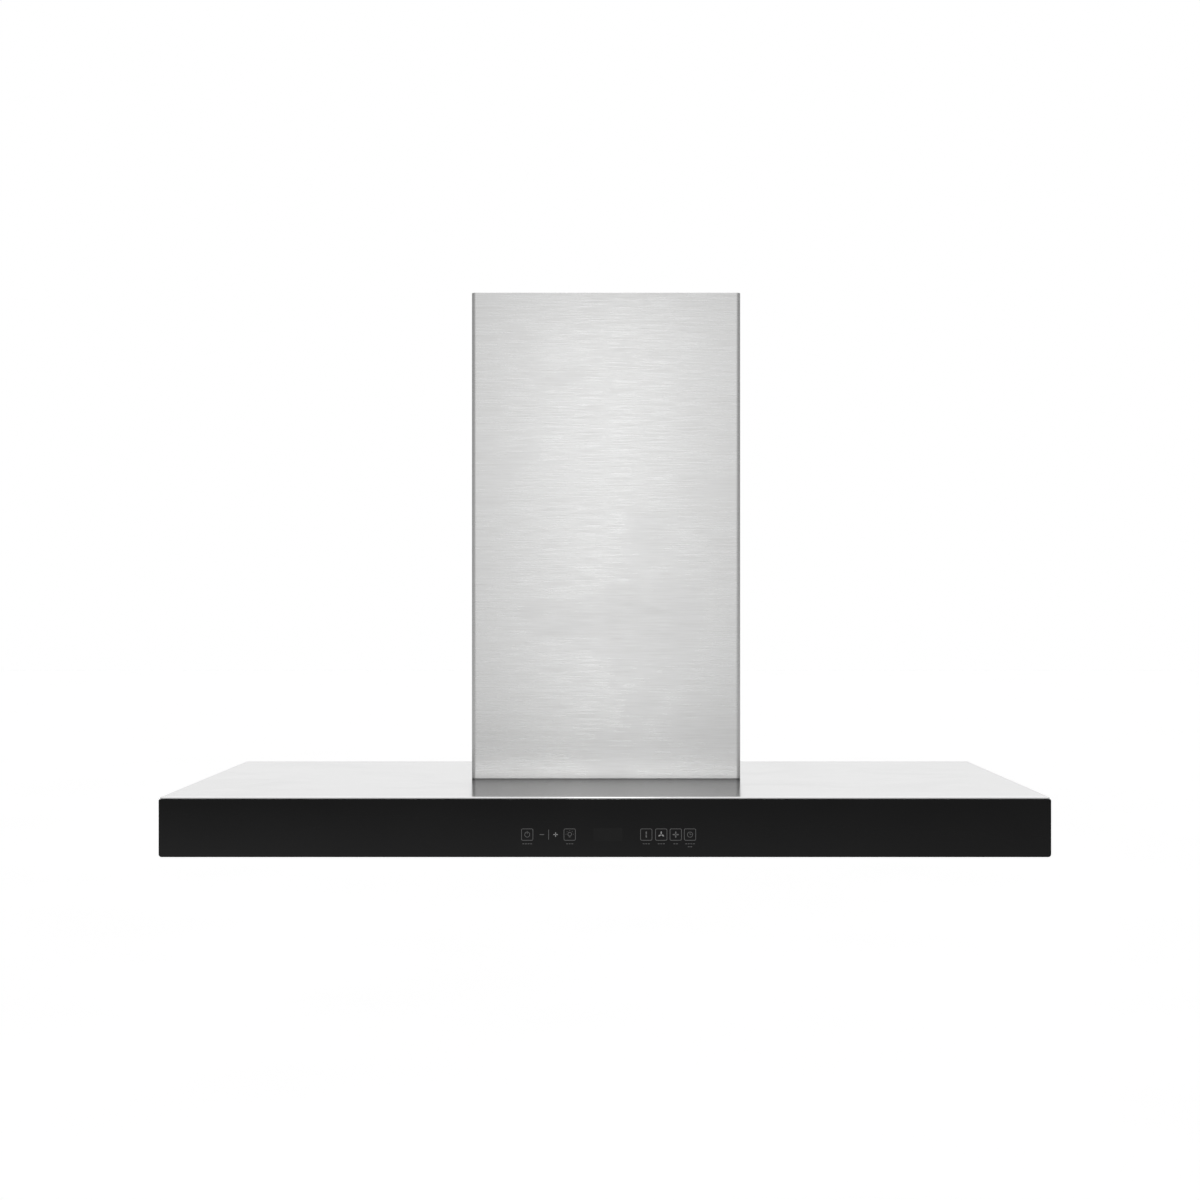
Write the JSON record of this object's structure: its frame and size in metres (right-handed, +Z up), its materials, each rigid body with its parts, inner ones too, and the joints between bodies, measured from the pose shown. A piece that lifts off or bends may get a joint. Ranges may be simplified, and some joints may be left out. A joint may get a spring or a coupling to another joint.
{
  "type": "wall-mounted chimney range hood",
  "caption": "Flat T-shaped kitchen range hood for a wall: steel canopy with a black glass touch front, baffle filters, lamps, a blower and a sliding steel chimney.",
  "frame": {"origin": "middle of the canopy's rear face, which lies on the wall", "axes": "+X to the hood's right, seen from the front; +Y back into the wall, so the glass front faces -Y; +Z up the chimney"},
  "size_m": [0.9, 0.5, 0.6031],
  "materials": {
    "canopy_steel": "satin stainless sheet, almost a mirror on the canopy's top",
    "chimney_steel": "stainless sheet brushed crosswise, with fine streaks",
    "filter_steel": "stainless sheet, satin",
    "polished_steel": "polished",
    "zinc_steel": "galvanised, with a faint spangle",
    "turned_steel": "turned",
    "cast_aluminium": "cast, bead blasted",
    "black_glass": "black back-printed toughened glass, polished",
    "lamp_glass": "frosted",
    "black_plastic": "moulded, fine texture",
    "grey_plastic": "moulded",
    "white_plastic": "moulded",
    "circuit_board": "green solder resist",
    "foam_tape": "closed-cell foam",
    "lead_pvc": "smooth cable sheath"
  },
  "bodies": {
    "hood": {"canopy_shell": "canopy_steel", "bottom_panel": "canopy_steel", "front_glass": "black_glass", "glass_tape_upper": "foam_tape", "glass_tape_lower": "foam_tape", "touch_carrier": "black_plastic", "touch_board": "circuit_board", "display_module": "black_plastic", "control_box": "grey_plastic", "control_box_lid": "grey_plastic", "control_board": "circuit_board", "lamp_left_bezel": "polished_steel", "lamp_left_lens": "lamp_glass", "lamp_left_body": "cast_aluminium", "lamp_right_bezel": "polished_steel", "lamp_right_lens": "lamp_glass", "lamp_right_body": "cast_aluminium", "lower_chimney": "chimney_steel", "chimney_clip_left": "zinc_steel", "chimney_clip_right": "zinc_steel", "chimney_screw_left": "polished_steel", "chimney_screw_right": "polished_steel", "motor_box": "zinc_steel", "wall_hook_left": "zinc_steel", "wall_hook_right": "zinc_steel", "scroll_band": "zinc_steel", "scroll_side_left": "zinc_steel", "scroll_side_right": "zinc_steel", "inlet_ring_left": "grey_plastic", "inlet_ring_right": "grey_plastic", "motor_case": "cast_aluminium", "bearing_inner": "turned_steel", "bearing_outer": "turned_steel", "motor_bracket": "zinc_steel", "run_capacitor": "white_plastic", "duct_collar": "grey_plastic", "damper_pin": "turned_steel", "terminal_box": "black_plastic", "cord_gland": "black_plastic", "supply_lead": "lead_pvc", "motor_lead": "lead_pvc", "lamp_lead_left": "lead_pvc", "lamp_lead_right": "lead_pvc", "touch_lead": "lead_pvc"},
    "upper_cover": {"upper_chimney": "chimney_steel", "cover_bracket": "zinc_steel"},
    "rotor": {"blower_wheel": "black_plastic", "motor_shaft": "turned_steel", "hub_nut": "turned_steel"},
    "front_flap": {"damper_flap_front": "black_plastic"},
    "rear_flap": {"damper_flap_rear": "black_plastic"},
    "left_filter": {"filter_left": "filter_steel"},
    "middle_filter": {"filter_middle": "filter_steel"},
    "right_filter": {"filter_right": "filter_steel"},
    "left_latch": {"filter_left_latch": "black_plastic"},
    "middle_latch": {"filter_middle_latch": "black_plastic"},
    "right_latch": {"filter_right_latch": "black_plastic"}
  },
  "joints": [
    {"name": "upper_cover_slide", "type": "slide", "parent": "hood", "child": "upper_cover", "axis": [0, 0, 1], "range_m": [0, 0.43]},
    {"name": "rotor_spin", "type": "hinge", "parent": "hood", "child": "rotor", "pos_m": [0, -0.14722, 0.1555], "axis": [1, 0, 0], "continuous": true},
    {"name": "front_flap_hinge", "type": "hinge", "parent": "hood", "child": "front_flap", "pos_m": [0, -0.10574, 0.2866], "axis": [-1, 0, 0], "range_deg": [0, 75]},
    {"name": "rear_flap_hinge", "type": "hinge", "parent": "hood", "child": "rear_flap", "pos_m": [0, -0.10574, 0.2866], "axis": [1, 0, 0], "range_deg": [0, 75]},
    {"name": "left_filter_tilt", "type": "hinge", "parent": "hood", "child": "left_filter", "pos_m": [-0.27067, -0.064, -0.0287], "axis": [1, 0, 0], "range_deg": [0, 60]},
    {"name": "middle_filter_tilt", "type": "hinge", "parent": "hood", "child": "middle_filter", "pos_m": [0, -0.064, -0.0287], "axis": [1, 0, 0], "range_deg": [0, 60]},
    {"name": "right_filter_tilt", "type": "hinge", "parent": "hood", "child": "right_filter", "pos_m": [0.27067, -0.064, -0.0287], "axis": [1, 0, 0], "range_deg": [0, 60]},
    {"name": "left_latch_slide", "type": "slide", "parent": "left_filter", "child": "left_latch", "axis": [0, 1, 0], "range_m": [0, 0.004], "stiffness_N_per_m": 300, "springref_m": -0.003},
    {"name": "middle_latch_slide", "type": "slide", "parent": "middle_filter", "child": "middle_latch", "axis": [0, 1, 0], "range_m": [0, 0.004], "stiffness_N_per_m": 300, "springref_m": -0.003},
    {"name": "right_latch_slide", "type": "slide", "parent": "right_filter", "child": "right_latch", "axis": [0, 1, 0], "range_m": [0, 0.004], "stiffness_N_per_m": 300, "springref_m": -0.003}
  ]
}
